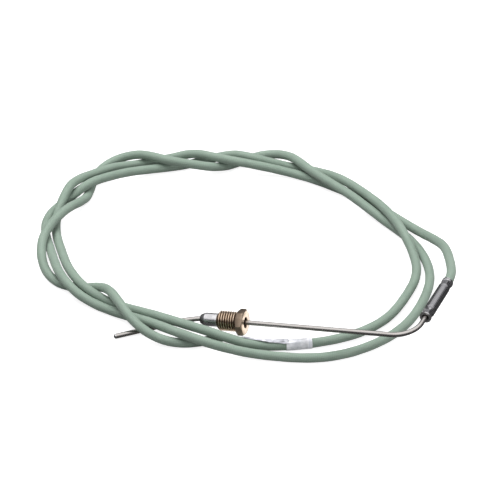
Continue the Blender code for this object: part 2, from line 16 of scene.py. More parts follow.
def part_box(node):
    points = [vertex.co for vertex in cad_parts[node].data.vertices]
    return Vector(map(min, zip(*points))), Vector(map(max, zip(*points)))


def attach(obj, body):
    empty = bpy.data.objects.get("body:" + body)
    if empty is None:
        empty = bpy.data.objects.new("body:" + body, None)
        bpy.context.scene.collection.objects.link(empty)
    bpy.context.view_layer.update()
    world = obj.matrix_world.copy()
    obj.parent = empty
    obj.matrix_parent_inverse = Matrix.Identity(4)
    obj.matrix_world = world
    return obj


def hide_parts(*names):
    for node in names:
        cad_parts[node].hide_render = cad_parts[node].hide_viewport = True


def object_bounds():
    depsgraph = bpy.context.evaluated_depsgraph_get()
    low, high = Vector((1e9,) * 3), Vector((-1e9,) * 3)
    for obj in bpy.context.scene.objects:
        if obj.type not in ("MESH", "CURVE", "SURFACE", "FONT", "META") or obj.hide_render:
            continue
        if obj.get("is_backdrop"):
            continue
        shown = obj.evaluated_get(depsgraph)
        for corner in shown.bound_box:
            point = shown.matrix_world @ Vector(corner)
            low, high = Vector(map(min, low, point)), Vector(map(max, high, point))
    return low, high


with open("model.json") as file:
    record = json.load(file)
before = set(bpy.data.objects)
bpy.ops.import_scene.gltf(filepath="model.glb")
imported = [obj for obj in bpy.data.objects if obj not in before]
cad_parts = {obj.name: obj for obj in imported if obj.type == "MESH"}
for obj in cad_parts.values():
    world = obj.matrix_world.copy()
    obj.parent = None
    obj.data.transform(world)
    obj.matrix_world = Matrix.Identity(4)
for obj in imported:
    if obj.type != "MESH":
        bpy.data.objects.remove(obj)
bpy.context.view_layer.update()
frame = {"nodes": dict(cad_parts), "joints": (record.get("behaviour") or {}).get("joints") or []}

MM = 0.001
UP = np.array([0.0, 0.0, 1.0])
MAIN_BODY = "probe_and_cable"
# point attribute: painted shade on turned metal, painted glints on drawn steel
MARKS = "marks"
SHARP_ANGLE = math.radians(38)
LONGEST_CORNER_CUT = 0.45

# ---- corners in one ring of each of the frame's swept solids, bore included ---------------------
JACKET_RING = 14
INSULATION_RING = 9
CORE_RING = 4
SHEATH_RING = 24
SAME_CORNER = 0.002 * MM

# ---- sizes of the fine pieces that the frame doesn't give ---------------------------------------
CABLE_RADIUS = 2.82 * MM
CABLE_BORE_RADIUS = 2.2 * MM
CABLE_COLUMNS = 32
CABLE_STEP = 1.5 * MM
TWIST_PITCH = 26 * MM
TWIST_DEPTH = 0.03 * MM
SWELL_DEPTH = 0.02 * MM
SWELL_SCALE = 90
CUT_END_DROP = 0.25 * MM
CABLE_START_STATIONS = 4

CORE_RADIUS = 0.38 * MM
CORE_COLUMNS = 8
CORE_STEP = 2 * MM
INSULATION_RADIUS = 0.9 * MM
INSULATION_BORE_RADIUS = 0.46 * MM
INSULATION_COLUMNS = 14
INSULATION_STEP = 1.2 * MM

PIN_COLUMNS = 32
PIN_SOCKET_RADIUS = 0.55 * MM
PIN_SOCKET_DEPTH = 3.2 * MM
PIN_COLLAR_LENGTH = 5.0 * MM
PIN_SHOULDER_LENGTH = 0.6 * MM
PIN_SHANK_SHARE = 0.75
PIN_TIP_LENGTH = 0.5 * MM
PIN_TIP_RADIUS = 0.3 * MM
PIN_CENTRE_RADIUS = 0.05 * MM
PIN_ROUNDING = 0.25 * MM
PIN_PRESS_START = 0.8 * MM
PIN_PRESS_END = 4.2 * MM
PIN_PRESS_EASE = 0.5 * MM
PIN_PRESS_DEPTH = 0.12 * MM

SHEATH_RADIUS = 1.5 * MM
SHEATH_BORE_RADIUS = 1.12 * MM
SHEATH_CLEAR_RADIUS = 1.62 * MM
SHEATH_COLUMNS = 32
SHEATH_STEP = 0.8 * MM
SHEATH_LONGEST_STRETCH = 12 * MM
TIP_SEAM = 0.06 * MM
TIP_PLUG_RADIUS = 0.95 * MM
TIP_CENTRE_RADIUS = 0.02 * MM
TIP_BLUNTNESS = 1.2

SLEEVE_COLUMNS = 72
SLEEVE_ROW_STEP = 0.25 * MM
SLEEVE_WALL = 0.45 * MM
SLEEVE_BORE_RADIUS = 2.95 * MM
SLEEVE_INSET = 0.04 * MM
# a crimp runs from the margin to its reach, both from the sleeve's nearer end
CRIMP_FLATS = 6
CRIMP_TURN = 0.2
CRIMP_EASE = 0.6 * MM
CRIMP_MARGIN = 1.4 * MM
CRIMP_APOTHEM = 3.08 * MM
CRIMP_REACH = 6.4 * MM
NECK_CRIMP_APOTHEM = 2.7 * MM
NECK_CRIMP_REACH = 5.8 * MM
GROOVE_DEPTH = 0.2 * MM
GROOVE_WIDTH = 0.3 * MM
GROOVE_FROM_START = 7.4 * MM
GROOVE_FROM_END = 7.8 * MM
RIM_WIDTH = 0.5 * MM
RIM_INSET = 0.15 * MM
# strength of the painted glints on the crimps' edges and round the neck's mouth
CRIMP_GLINT = 0.7
NECK_GLINT = 0.7

NUT_COLUMNS = 96
NUT_HEX_LENGTH = 4.5 * MM
NUT_BORE_RADIUS = 3.0 * MM
NUT_MOUTH_WIDTH = 0.5 * MM
HEX_FACE_SHARE = 0.985
HEX_CHAMFER = math.radians(30)
HEX_EDGE_DROP = 0.04 * MM
HEX_EDGE_LENGTH = 0.08 * MM
HEX_CHAMFER_STEP = 0.3
THREAD_CREST_RADIUS = 5.95 * MM
THREAD_PITCH = 1.5 * MM
THREAD_DEPTH = 0.92 * MM
THREAD_ROWS_PER_PITCH = 20
THREAD_CHAMFER = math.radians(45)
THREAD_CHAMFER_DEPTH = 0.2 * MM
THREAD_FIRST_ROW = 0.1 * MM
THREAD_GROWTH_START = 0.2 * MM
THREAD_GROWTH = 1 * MM
THREAD_FADE = 0.5 * MM
THREAD_RUNOUT = 0.9 * MM
THREAD_ROOT_SHARE = 0.07
THREAD_FLANK_SHARE = 0.27
THREAD_STRAIGHTNESS = 0.55
SHOULDER_FILLET = 0.15 * MM

OLIVE_COLUMNS = 72
OLIVE_NOSE_RADIUS = 2.7 * MM
OLIVE_CONE_LENGTH = 3 * MM
OLIVE_CHAMFER = 0.35 * MM
OLIVE_BORE_CHAMFER = 0.3 * MM
OLIVE_ROUNDING = 0.22 * MM
# how dark the painted shade on the olive's cone is, and over what length it fades
OLIVE_CONE_SHADE = 0.85
OLIVE_SHADE_EDGE = 0.4 * MM

FILM_COLUMNS = 48
FILM_STEP = 0.35 * MM
FILM_RADIUS = 3.02 * MM
FILM_THICKNESS = 0.1 * MM
FILM_CREASE = 0.10 * MM
FILM_FOLD = 0.05 * MM
FILM_LIFT = 1.3 * MM
FILM_LOOSE_SIDE = 0.35
FILM_LOOSE_START = 0.2
FILM_NOISE_ROUND = 1.1
FILM_CREASES_ALONG = 5
FILM_FOLDS_ALONG = 1.2
FILM_TALLEST_CREASE = 1.2
FILM_FLARE = 0.12 * MM
FILM_FLARE_START = 0.9
BAND_START = 0.8
BAND_OUTER_GAP = 0.06 * MM
BAND_INNER_GAP = 0.01 * MM
TAIL_FILM_LENGTH = 27 * MM
TAIL_FILM_STEP = 0.5 * MM
TAIL_FILM_COLUMNS = 18
TAIL_FILM_GAP = 0.43 * MM
TAIL_FILM_RISE = 0.55 * MM
TAIL_FILM_RIPPLE = 0.25 * MM
TAIL_FILM_THICKNESS = 0.12 * MM
TAIL_FILM_SWAY_SCALE = 160
# degrees round the cable: where the loose film starts, and how wide it is there
TAIL_FILM_BEARING = -112
TAIL_FILM_TURN = 18
TAIL_FILM_SWAY = 8
TAIL_FILM_WIDTH = 25
TAIL_FILM_WIDENING = 60

# ---- camera, floor and lamps --------------------------------------------------------------------
CAMERA_ELEVATION = math.radians(31.0)
CAMERA_DISTANCE = 2.0
CAMERA_AIM = Vector((3.9, 8.6, 0.0)) * MM
CAMERA_LENS = 233.3
CAMERA_SENSOR = 36
CAMERA_FARTHEST = 50

FLOOR_HALF_SIZE = 4.0
FLOOR_DROP = 0.02 * MM
FLOOR_GLOW = 0.85
FLOOR_BOUNCE = 0.34
# the bright patch of floor that shiny pieces mirror: its centre and its fade, in millimetres
REFLECTOR_PLACE = (25.0, -55.0, 0.0)
REFLECTOR_FADE_START = 34.0
REFLECTOR_FADE_END = 58.0
REFLECTOR_GLOW = 1.7
REFLECTOR_DIMMEST = 0.1
MIRRORED_SKY_STRENGTH = 1.5

LAMPS = (  # name, place, target, width, height, watts
    ("top_light", (-0.3, 0.3, 1.3), (0, 0, 0), 1.3, 1.0, 23.5),
    ("right_light", (1.5, -0.2, 0.5), (0, 0, 0), 0.7, 0.9, 7),
    ("left_light", (-1.3, -0.6, 0.6), (0, 0, 0), 0.8, 0.6, 2.5),
    ("front_light", (0.45, -0.6, 0.35), (0.14, -0.1, 0), 0.4, 0.4, 1.6),
)


# ---- reading the frame --------------------------------------------------------------------------
def box_centre(node_name):
    low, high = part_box(node_name)
    return (low + high) / 2


def ring_centres(node_name, near, count):
    """Centres of a swept solid's rings of `count` corners, from the end nearest to a point."""
    bm = bmesh.new()
    bm.from_mesh(frame["nodes"][node_name].data)
    bmesh.ops.remove_doubles(bm, verts=bm.verts, dist=SAME_CORNER)
    level = set(sorted(bm.verts, key=lambda v: (v.co - near).length)[:count])
    seen = set(level)
    centres = []
    while level:
        centres.append(np.mean([v.co for v in level], axis=0))
        level = {e.other_vert(v) for v in level for e in v.link_edges} - seen
        seen |= level
    bm.free()
    return np.array(centres)


def split_corners(node_name, origin, axis):
    """A node's corners as heights along an axis from an origin, and offsets square to it."""
    points = np.array([v.co for v in frame["nodes"][node_name].data.vertices]) - origin
    heights = points @ axis
    return heights, points - heights[:, None] * axis


def reach(node_name, origin, axis):
    """How far a node reaches along an axis from an origin: lowest, highest, and widest radius."""
    heights, offsets = split_corners(node_name, origin, axis)
    return heights.min(), heights.max(), np.linalg.norm(offsets, axis=1).max()


def farthest_side(node_name, origin, axis):
    """Direction, square to the axis, of the node's outermost corner."""
    offsets = split_corners(node_name, origin, axis)[1]
    return unit(offsets[np.argmax(np.linalg.norm(offsets, axis=1))])


def unit(vector):
    return vector / np.linalg.norm(vector)


def stand(origin, axis, side=None):
    """4x4 place whose local Z is the axis, and whose local X is the side."""
    if side is None:
        side = np.cross(axis, UP)
    side = unit(side - axis * np.dot(side, axis))
    place = np.eye(4)
    place[:3, 0], place[:3, 1], place[:3, 2] = side, np.cross(axis, side), axis
    place[:3, 3] = origin
    return place


# ---- lines and grids ----------------------------------------------------------------------------
def spline(points, step):
    """Centripetal Catmull-Rom curve through the points, sampled about every `step`."""
    ends = [2 * points[0] - points[1], *points, 2 * points[-1] - points[-2]]
    curve = []
    for p0, p1, p2, p3 in zip(ends, ends[1:], ends[2:], ends[3:]):
        t1 = math.sqrt(np.linalg.norm(p1 - p0))
        t2 = t1 + math.sqrt(np.linalg.norm(p2 - p1))
        t3 = t2 + math.sqrt(np.linalg.norm(p3 - p2))
        count = max(2, round(np.linalg.norm(p2 - p1) / step))
        for t in np.linspace(t1, t2, count, endpoint=False):
            a1 = ((t1 - t) * p0 + t * p1) / t1
            a2 = ((t2 - t) * p1 + (t - t1) * p2) / (t2 - t1)
            a3 = ((t3 - t) * p2 + (t - t2) * p3) / (t3 - t2)
            b1 = ((t2 - t) * a1 + t * a2) / t2
            b2 = ((t3 - t) * a2 + (t - t1) * a3) / (t3 - t1)
            curve.append(((t2 - t) * b1 + (t - t1) * b2) / (t2 - t1))
    curve.append(points[-1])
    return np.array(curve)


def resampled(points, step):
    lengths = np.concatenate([[0], np.cumsum(np.linalg.norm(np.diff(points, axis=0), axis=1))])
    places = np.linspace(0, lengths[-1], max(2, round(lengths[-1] / step) + 1))
    return np.stack([np.interp(places, lengths, points[:, k]) for k in range(3)], axis=1)


def divided(stations, longest):
    """The stations, with every stretch longer than `longest` cut into quarters of that length.

    A curve through the result keeps the long stretches straight.
    """
    result = [stations[0]]
    for start, end in zip(stations, stations[1:]):
        length = np.linalg.norm(end - start)
        count = math.ceil(4 * length / longest) if length > longest else 1
        result += [start + (end - start) * k / count for k in range(1, count + 1)]
    return np.array(result)


def smooth_line(stations, step):
    return resampled(spline(stations, step / 4), step)


def carried_frames(line):
    """Two normals at each station of a line, carried along it without twisting."""
    tangents = np.gradient(line, axis=0)
    tangents /= np.linalg.norm(tangents, axis=1)[:, None]
    side = np.cross(tangents[0], UP)
    sides = []
    for tangent in tangents:
        side = unit(side - tangent * side.dot(tangent))
        sides.append(side)
    return np.array(sides), np.cross(tangents, sides)


def turns(columns):
    return np.linspace(0, 2 * math.pi, columns, endpoint=False)


def swept_rows(line, radius, columns):
    """Grid of points round a line; radius is one number, or an array for stations and columns."""
    sides, ups = carried_frames(line)
    angle = turns(columns)[None, :, None]
    out = sides[:, None] * np.cos(angle) + ups[:, None] * np.sin(angle)
    radius = np.broadcast_to(radius, (len(line), columns))
    return line[:, None] + out * radius[:, :, None]


def tube_rows(line, radius, bore, columns, bore_skip=1):
    """Rows for a looped lattice: the outer wall from start to end, and the bore's wall back."""
    outer = swept_rows(line, radius, columns)
    kept = sorted(set(range(0, len(line), bore_skip)) | {len(line) - 1})
    inner = swept_rows(line, bore, columns)[kept]
    return np.concatenate([outer, inner[::-1]])


def turned_rows(radii, heights, columns, place):
    """Grid of points from rows of radii and heights about the local Z of a place."""
    angle = turns(columns)
    radii = np.broadcast_to(radii, (len(radii), columns))
    heights = np.broadcast_to(heights, (len(heights), columns))
    local = np.stack([radii * np.cos(angle), radii * np.sin(angle), heights], axis=-1)
    return local @ place[:3, :3].T + place[:3, 3]


def rounded(profile, size, steps=4):
    """The closed profile with every corner replaced by a curve that cuts `size` off both sides."""
    profile = np.array(profile)
    result = []
    for before, corner, after in zip(np.roll(profile, 1, 0), profile, np.roll(profile, -1, 0)):
        back, ahead = before - corner, after - corner
        start, end = (corner + side * min(size / np.linalg.norm(side), LONGEST_CORNER_CUT)
                      for side in (back, ahead))
        for t in np.linspace(0, 1, steps):
            result.append((1 - t) ** 2 * start + 2 * t * (1 - t) * corner + t ** 2 * end)
    return np.array(result)


def ease(t):
    t = np.clip(t, 0, 1)
    return t * t * (3 - 2 * t)


def window(t, low, high, edge):
    """1 between low and high, 0 outside, with an eased edge just inside each limit."""
    return ease((t - low) / edge) * ease((high - t) / edge)


def bell(t, width):
    return np.exp(-(t / width) ** 2)


def drift_at(place, scale):
    """Smooth noise that depends only on the point, between about -1 and 1."""
    smoothness, octave_ratio, octaves = 0.8, 2.0, 3
    return noise.fractal(Vector(place) * scale, smoothness, octave_ratio, octaves)


# ---- Blender objects ----------------------------------------------------------------------------
def grid(rows, looped):
    """Quads over a grid of points whose columns run round, and the UV of every quad's corners."""
    count, columns = rows.shape[:2]
    i = np.arange(count if looped else count - 1)[:, None]
    j = np.arange(columns)[None, :]
    following, across = (i + 1) % count, (j + 1) % columns
    quads = np.stack([i * columns + j, i * columns + across,
                      following * columns + across, following * columns + j], axis=-1)
    steps = np.linalg.norm(np.roll(rows, -1, 0) - rows, axis=2).mean(axis=1)
    along = np.concatenate([[0], np.cumsum(steps)]) / MM
    low, high, left, right = np.broadcast_arrays(along[i], along[i + 1], j / columns, (j + 1) / columns)
    corners = ((low, left), (low, right), (high, right), (high, left))
    uv = np.stack([np.stack(corner, axis=-1) for corner in corners], axis=2)
    return quads.reshape(-1, 4), uv.reshape(-1, 4, 2)


def faces_inwards(points, quads):
    a, b, c, d = (points[quads[:, k]] for k in range(4))
    return (a * (np.cross(b, c) + np.cross(c, d))).sum() < 0


def lattice(name, rows, mat, looped=False, capped=False, marks=None):
    """Closed mesh over a grid whose columns run round; `looped` also joins its last row to its first.

    `marks` says for every point how much painted shade darkens it, or how strongly a painted glint
    brightens it.
    """
    rows = np.asarray(rows)
    count, columns = rows.shape[:2]
    points = rows.reshape(-1, 3)
    quads, uv = grid(rows, looped)
    ends = [list(range(columns))[::-1], list(range((count - 1) * columns, count * columns))]
    if faces_inwards(points, quads):
        quads, uv = quads[:, ::-1], uv[:, ::-1]
        ends = [end[::-1] for end in ends]
    faces, corners = quads.tolist(), uv.reshape(-1)
    if capped:
        faces += ends
        corners = np.concatenate([corners, np.zeros(2 * len(ends) * columns)])
    mesh = bpy.data.meshes.new(name)
    mesh.from_pydata(points.tolist(), [], faces)
    mesh.uv_layers.new(name="UVMap").data.foreach_set("uv", corners.astype(np.float32))
    if marks is not None:
        share = np.asarray(marks, dtype=np.float32).reshape(-1)
        mesh.attributes.new(MARKS, "FLOAT", "POINT").data.foreach_set("value", share)
    mesh.materials.append(mat)
    mesh.shade_smooth()
    mesh.set_sharp_from_angle(angle=SHARP_ANGLE)
    obj = bpy.data.objects.new(name, mesh)
    bpy.context.scene.collection.objects.link(obj)
    return obj


def piece(obj, body, slot, *nodes):
    """Let a piece ride on a body and stand for the given nodes; `slot` is not used."""
    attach(obj, body)
    if nodes:
        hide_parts(*nodes)


# ---- shader nodes -------------------------------------------------------------------------------
def node(tree, kind, props=None, **inputs):
    """Add a shader node; an input given a socket is linked, and any other value is set.

    An input's key is its name, with _ for a space, or i and its number.
    """
    made = tree.nodes.new("ShaderNode" + kind)
    for key, value in (props or {}).items():
        setattr(made, key, value)
    for key, value in inputs.items():
        fill(tree, made, int(key[1:]) if key[0] == "i" and key[1:].isdigit() else key, value)
    return made


def fill(tree, made, key, value):
    """Link a socket to a node's input, or set the input to a value."""
    target = made.inputs[key.replace("_", " ") if isinstance(key, str) else key]
    if isinstance(value, bpy.types.NodeSocket):
        tree.links.new(value, target)
    elif isinstance(value, tuple) and len(value) == 3 and target.type == "RGBA":
        target.default_value = (*value, 1)
    else:
        target.default_value = value


def math_node(tree, operation, *values):
    return node(tree, "Math", {"operation": operation},
                **{f"i{k}": value for k, value in enumerate(values)}).outputs[0]


def added(tree, first, second):
    return math_node(tree, "ADD", first, second)


def times(tree, first, second):
    return math_node(tree, "MULTIPLY", first, second)


def millimetres(tree):
    """Object coordinates in millimetres."""
    coordinates = node(tree, "TexCoord").outputs["Object"]
    return node(tree, "VectorMath", {"operation": "SCALE"}, Vector=coordinates, Scale=1 / MM).outputs[0]


def along_and_round(tree):
    """The UV map's two values: millimetres along the piece and turns around it."""
    uv = node(tree, "UVMap", {"uv_map": "UVMap"}).outputs[0]
    split = node(tree, "SeparateXYZ", Vector=uv)
    return split.outputs[0], split.outputs[1]


def wrapped(tree, along, around, along_scale, around_scale):
    """Noise coordinates that stretch along and around a piece and meet without a seam."""
    angle = times(tree, around, 2 * math.pi)
    return node(tree, "CombineXYZ",
                X=times(tree, math_node(tree, "COSINE", angle), around_scale),
                Y=times(tree, math_node(tree, "SINE", angle), around_scale),
                Z=times(tree, along, along_scale)).outputs[0]


def ramp(tree, value, *stops):
    """A colour that runs through (place, colour) stops as the value grows."""
    made = node(tree, "ValToRGB", Fac=value)
    elements = made.color_ramp.elements
    for k, (place, colour) in enumerate(stops):
        element = elements[k] if k < 2 else elements.new(place)
        element.position = place
        element.color = (*colour, 1)
    return made.outputs[0]


def grey(level):
    return (level, level, level)


def mixed(tree, share, first, second):
    return node(tree, "Mix", {"data_type": "RGBA"}, i0=share, i6=first, i7=second).outputs[2]


def span(tree, value, low, high, start=0.0, stop=1.0):
    """Bring a value that runs from start to stop into the range from low to high."""
    return node(tree, "MapRange", Value=value, From_Min=start, From_Max=stop,
                To_Min=low, To_Max=high).outputs[0]


def noise_value(tree, vector, scale, detail=4.0, rough=0.55):
    return node(tree, "TexNoise", Vector=vector, Scale=scale, Detail=detail, Roughness=rough).outputs[0]


def marks_value(tree):
    return node(tree, "Attribute", {"attribute_name": MARKS}).outputs["Fac"]


def new_material(name):
    mat = bpy.data.materials.new(name)
    mat.use_nodes = True
    return mat, mat.node_tree, mat.node_tree.nodes["Principled BSDF"]


def finish_shader(tree, shader, colour, roughness, height=None, strength=0.0, depth=0.0, **values):
    """Fill a Principled shader's main inputs, and its bump from a height; depth in millimetres."""
    for key, value in {"Base Color": colour, "Roughness": roughness, **values}.items():
        fill(tree, shader, key, value)
    if height is not None:
        bump = node(tree, "Bump", Height=height, Strength=strength, Distance=depth * MM)
        fill(tree, shader, "Normal", bump.outputs[0])


def show(tree, shader):
    fill(tree, tree.nodes["Material Output"], "Surface", shader.outputs[0])


# ---- materials ----------------------------------------------------------------------------------
def silicone():
    """Grey-green satin rubber with fine rings across it, faint scuffs and a dusty bloom."""
    mat, tree, shader = new_material("sage_silicone_fine")
    along, around = along_and_round(tree)
    cloud = noise_value(tree, millimetres(tree), 0.06, detail=3)
    fine = noise_value(tree, wrapped(tree, along, around, 0.9, 1.2), 2.2, detail=5, rough=0.65)
    colour = ramp(tree, cloud, (0.3, (0.197, 0.268, 0.213)), (0.7, (0.243, 0.320, 0.259)))
    colour = mixed(tree, span(tree, fine, 0.0, 0.4), colour, (0.32, 0.375, 0.33))
    wobble = noise_value(tree, wrapped(tree, along, around, 0.25, 1.0), 1.5, detail=2)
    phase = added(tree, times(tree, along, 5.2), times(tree, wobble, 9.0))
    phase = added(tree, phase, times(tree, around, 4 * math.pi))
    rings = math_node(tree, "SINE", phase)
    colour = mixed(tree, span(tree, rings, 0.0, 0.22, start=-1.0), colour, (0.15, 0.21, 0.165))
    height = added(tree, times(tree, rings, 0.5), fine)
    finish_shader(tree, shader, colour, span(tree, fine, 0.42, 0.62), height, strength=0.45,
                  depth=0.08, Specular_IOR_Level=0.45, Sheen_Weight=0.25,
                  Sheen_Roughness=0.4, Sheen_Tint=(0.8, 0.86, 0.82), Subsurface_Weight=0.05,
                  Subsurface_Radius=(0.6 * MM, 0.9 * MM, 0.7 * MM))
    return mat


def drawn_steel(name, light, dark, rough, heat=None):
    """Metal with streaks along the piece; `heat` tints it in soft clouds, and marks paint bright glints
    on it.
    """
    mat, tree, shader = new_material(name)
    along, around = along_and_round(tree)
    streaks = noise_value(tree, wrapped(tree, along, around, 0.004, 4.0), 3.0, detail=4, rough=0.6)
    cloud = noise_value(tree, millimetres(tree), 0.12, detail=3)
    colour = mixed(tree, streaks, dark, light)
    if heat:
        colour = mixed(tree, ramp(tree, cloud, (0.5, grey(0)), (0.8, grey(0.35))), colour, heat)
    # Painted glints: the marks attribute brightens the colour towards near-white.
    colour = mixed(tree, marks_value(tree), colour, (0.85, 0.84, 0.84))
    roughness = added(tree, span(tree, streaks, rough - 0.04, rough + 0.06),
                      span(tree, cloud, -0.02, 0.03))
    finish_shader(tree, shader, colour, roughness, streaks, strength=0.06, depth=0.03, Metallic=1.0)
    return mat


def turned_metal(name, light, dark, tarnish, rough, pitch, tarnish_share):
    """Metal with tool marks round it, tarnish in patches, and painted shade wherever the marks attribute
    says.
    """
    mat, tree, shader = new_material(name)
    along, around = along_and_round(tree)
    place = millimetres(tree)
    tooling = noise_value(tree, wrapped(tree, along, around, 1 / pitch, 0.4), 1.0, detail=3, rough=0.6)
    cloud = noise_value(tree, place, 0.35, detail=5, rough=0.6)
    speck = noise_value(tree, place, 2.5, detail=4, rough=0.7)
    patches = ramp(tree, cloud, (0.42, grey(0)), (0.7, grey(tarnish_share)))
    colour = mixed(tree, patches, mixed(tree, tooling, dark, light), tarnish)
    # Painted shade: the marks attribute darkens the colour towards a dim tarnish and roughens it.
    painted_shade = marks_value(tree)
    colour = mixed(tree, painted_shade, colour, tuple(0.3 * c for c in tarnish))
    roughness = added(tree, span(tree, cloud, rough - 0.04, rough + 0.1), span(tree, speck, -0.03, 0.05))
    roughness = added(tree, roughness, times(tree, painted_shade, 0.3))
    height = added(tree, tooling, times(tree, speck, 0.4))
    finish_shader(tree, shader, colour, roughness, height, strength=0.1, depth=0.03, Metallic=1.0)
    return mat


def braid(name, colour, shade):
    """Glass-fibre braid: two sets of threads that cross round the conductor."""
    mat, tree, shader = new_material(name)
    along, around = along_and_round(tree)
    fine = noise_value(tree, wrapped(tree, along, around, 2.0, 2.0), 2.0, detail=4)
    threads_round = 6
    threads = []
    for sign in (-1, 1):
        phase = added(tree, times(tree, along, 5.5),
                      times(tree, around, sign * 2 * math.pi * threads_round))
        threads.append(math_node(tree, "SINE", phase))
    weave = math_node(tree, "MAXIMUM", *threads)
    tone = ramp(tree, weave, (0.0, shade), (0.8, colour))
    tone = mixed(tree, span(tree, fine, 0, 0.3), tone, shade)
    finish_shader(tree, shader, tone, span(tree, fine, 0.5, 0.75), added(tree, weave, fine),
                  strength=0.5, depth=0.05)
    return mat


def cloudy(name, light, dark, rough, scale, metallic=0.0, strength=0.4):
    """Mottled solid with a grainy surface, for the pieces inside."""
    mat, tree, shader = new_material(name)
    place = millimetres(tree)
    cloud = noise_value(tree, place, scale, detail=5, rough=0.6)
    grain = noise_value(tree, place, scale * 8, detail=3)
    finish_shader(tree, shader, mixed(tree, cloud, dark, light),
                  span(tree, grain, rough - 0.08, rough + 0.08), grain, strength=strength,
                  depth=0.05, Metallic=metallic)
    return mat


def film(name, dark, light):
    """Wrinkled clear film with a milky tint that lets a little of the cable show through."""
    mat, tree, shader = new_material(name)
    along, around = along_and_round(tree)
    creases = noise_value(tree, wrapped(tree, along, around, 0.16, 0.7), 1.6, detail=2, rough=0.45)
    colour = ramp(tree, creases, (0.35, dark), (0.65, light))
    finish_shader(tree, shader, colour, span(tree, creases, 0.12, 0.25), creases,
                  strength=0.35, depth=0.2)
    cover = ramp(tree, creases, (0.38, grey(0.86)), (0.62, grey(0.97)))
    clear = node(tree, "BsdfTransparent")
    show(tree, node(tree, "MixShader", i0=cover, i1=clear.outputs[0], i2=shader.outputs[0]))
    return mat


def paper():
    """Blank white label stock with a cool gloss and small crinkles."""
    mat, tree, shader = new_material("blank_label")
    along, around = along_and_round(tree)
    creases = noise_value(tree, wrapped(tree, along, around, 0.9, 0.8), 1.6, detail=4)
    colour = ramp(tree, creases, (0.35, (0.80, 0.81, 0.88)), (0.6, (0.93, 0.93, 0.97)))
    finish_shader(tree, shader, colour, span(tree, creases, 0.25, 0.45), creases,
                  strength=0.4, depth=0.1)
    return mat


# ---- the cable ----------------------------------------------------------------------------------
def build_jacket(mat, line):
    """Round jacket whose two twisted conductors just show through as a slow wave."""
    along = np.arange(len(line))[:, None] * CABLE_STEP
    angle = turns(CABLE_COLUMNS)[None, :]
    twist = np.cos(2 * (angle - 2 * math.pi * along / TWIST_PITCH))
    swell = np.array([drift_at(p, SWELL_SCALE) for p in line])[:, None]
    radius = CABLE_RADIUS + TWIST_DEPTH * twist + SWELL_DEPTH * swell
    radius[-1] -= CUT_END_DROP
    rows = tube_rows(line, radius, CABLE_BORE_RADIUS, CABLE_COLUMNS, bore_skip=3)
    piece(lattice("jacket", rows, mat, looped=True), MAIN_BODY, "sage_silicone", "cable_jacket")


def build_conductor(label, mat, core_mat, pin_mat, slot):
    """One insulated conductor with its core and the pin on its tail."""
    cover_node = f"conductor_insulation_{label}"
    stations = ring_centres(cover_node, box_centre("sleeve_potting"), INSULATION_RING)
    line = smooth_line(stations, INSULATION_STEP)
    rows = tube_rows(line, INSULATION_RADIUS, INSULATION_BORE_RADIUS, INSULATION_COLUMNS, bore_skip=2)
    piece(lattice(f"insulation_{label}", rows, mat, looped=True), MAIN_BODY, slot, cover_node)

    core_node = f"conductor_core_{label}"
    stations = ring_centres(core_node, box_centre(f"splice_barrel_{label}"), CORE_RING)
    rows = swept_rows(smooth_line(stations, CORE_STEP), CORE_RADIUS, CORE_COLUMNS)
    core = lattice(f"core_{label}", rows, core_mat, capped=True)
    piece(core, MAIN_BODY, "nickel_chromium", core_node)
    build_pin(label, pin_mat, stations[-1], unit(stations[-1] - stations[-2]))


def build_pin(label, mat, origin, axis):
    """Crimped pin: a collar pressed flat on two sides, and a turned pin with a rounded end."""
    name = f"tail_pin_{label}"
    start, end, widest = reach(name, origin, axis)
    shank = PIN_SHANK_SHARE * widest
    collar_end = start + PIN_COLLAR_LENGTH
    socket_end = start + PIN_SOCKET_DEPTH
    profile = rounded([
        (PIN_SOCKET_RADIUS, start), (widest, start), (widest, collar_end),
        (shank, collar_end + PIN_SHOULDER_LENGTH), (shank, end - PIN_TIP_LENGTH),
        (PIN_TIP_RADIUS, end), (PIN_CENTRE_RADIUS, end), (PIN_CENTRE_RADIUS, socket_end),
        (PIN_SOCKET_RADIUS, socket_end),
    ], PIN_ROUNDING)
    radii, heights = profile[:, :1], profile[:, 1:]
    outer = radii > PIN_SOCKET_RADIUS + PIN_CENTRE_RADIUS
    pressed = window(heights - start, PIN_PRESS_START, PIN_PRESS_END, PIN_PRESS_EASE)
    two_sides = 0.5 + 0.5 * np.cos(2 * turns(PIN_COLUMNS))
    dent = PIN_PRESS_DEPTH * pressed * outer * two_sides[None, :]
    rows = turned_rows(radii - dent, heights, PIN_COLUMNS, stand(origin, axis))
    piece(lattice(f"pin_{label}", rows, mat, looped=True), MAIN_BODY, "nickel", name)


def film_radii(share):
    """Radius of the creased film, for its share of length and round it; one side stands loose."""
    radius = np.empty((len(share), FILM_COLUMNS))
    for i, along in enumerate(share):
        for j, angle in enumerate(turns(FILM_COLUMNS)):
            across, up = FILM_NOISE_ROUND * math.cos(angle), FILM_NOISE_ROUND * math.sin(angle)
            crease = abs(noise.fractal(Vector((across, up, FILM_CREASES_ALONG * along)), 0.7, 2.1, 4))
            fold = noise.noise(Vector((2 * across, 2 * up, FILM_FOLDS_ALONG * along)))
            lift = max(0.0, -math.sin(angle - FILM_LOOSE_SIDE)) ** 3 * ease(along / FILM_LOOSE_START)
            radius[i, j] = (FILM_RADIUS + FILM_CREASE * min(crease, FILM_TALLEST_CREASE)
                            + FILM_FOLD * fold + FILM_LIFT * lift * (0.8 + 0.3 * fold))
    flare = ease((share - FILM_FLARE_START) / (1 - FILM_FLARE_START))
    return radius + FILM_FLARE * flare[:, None]


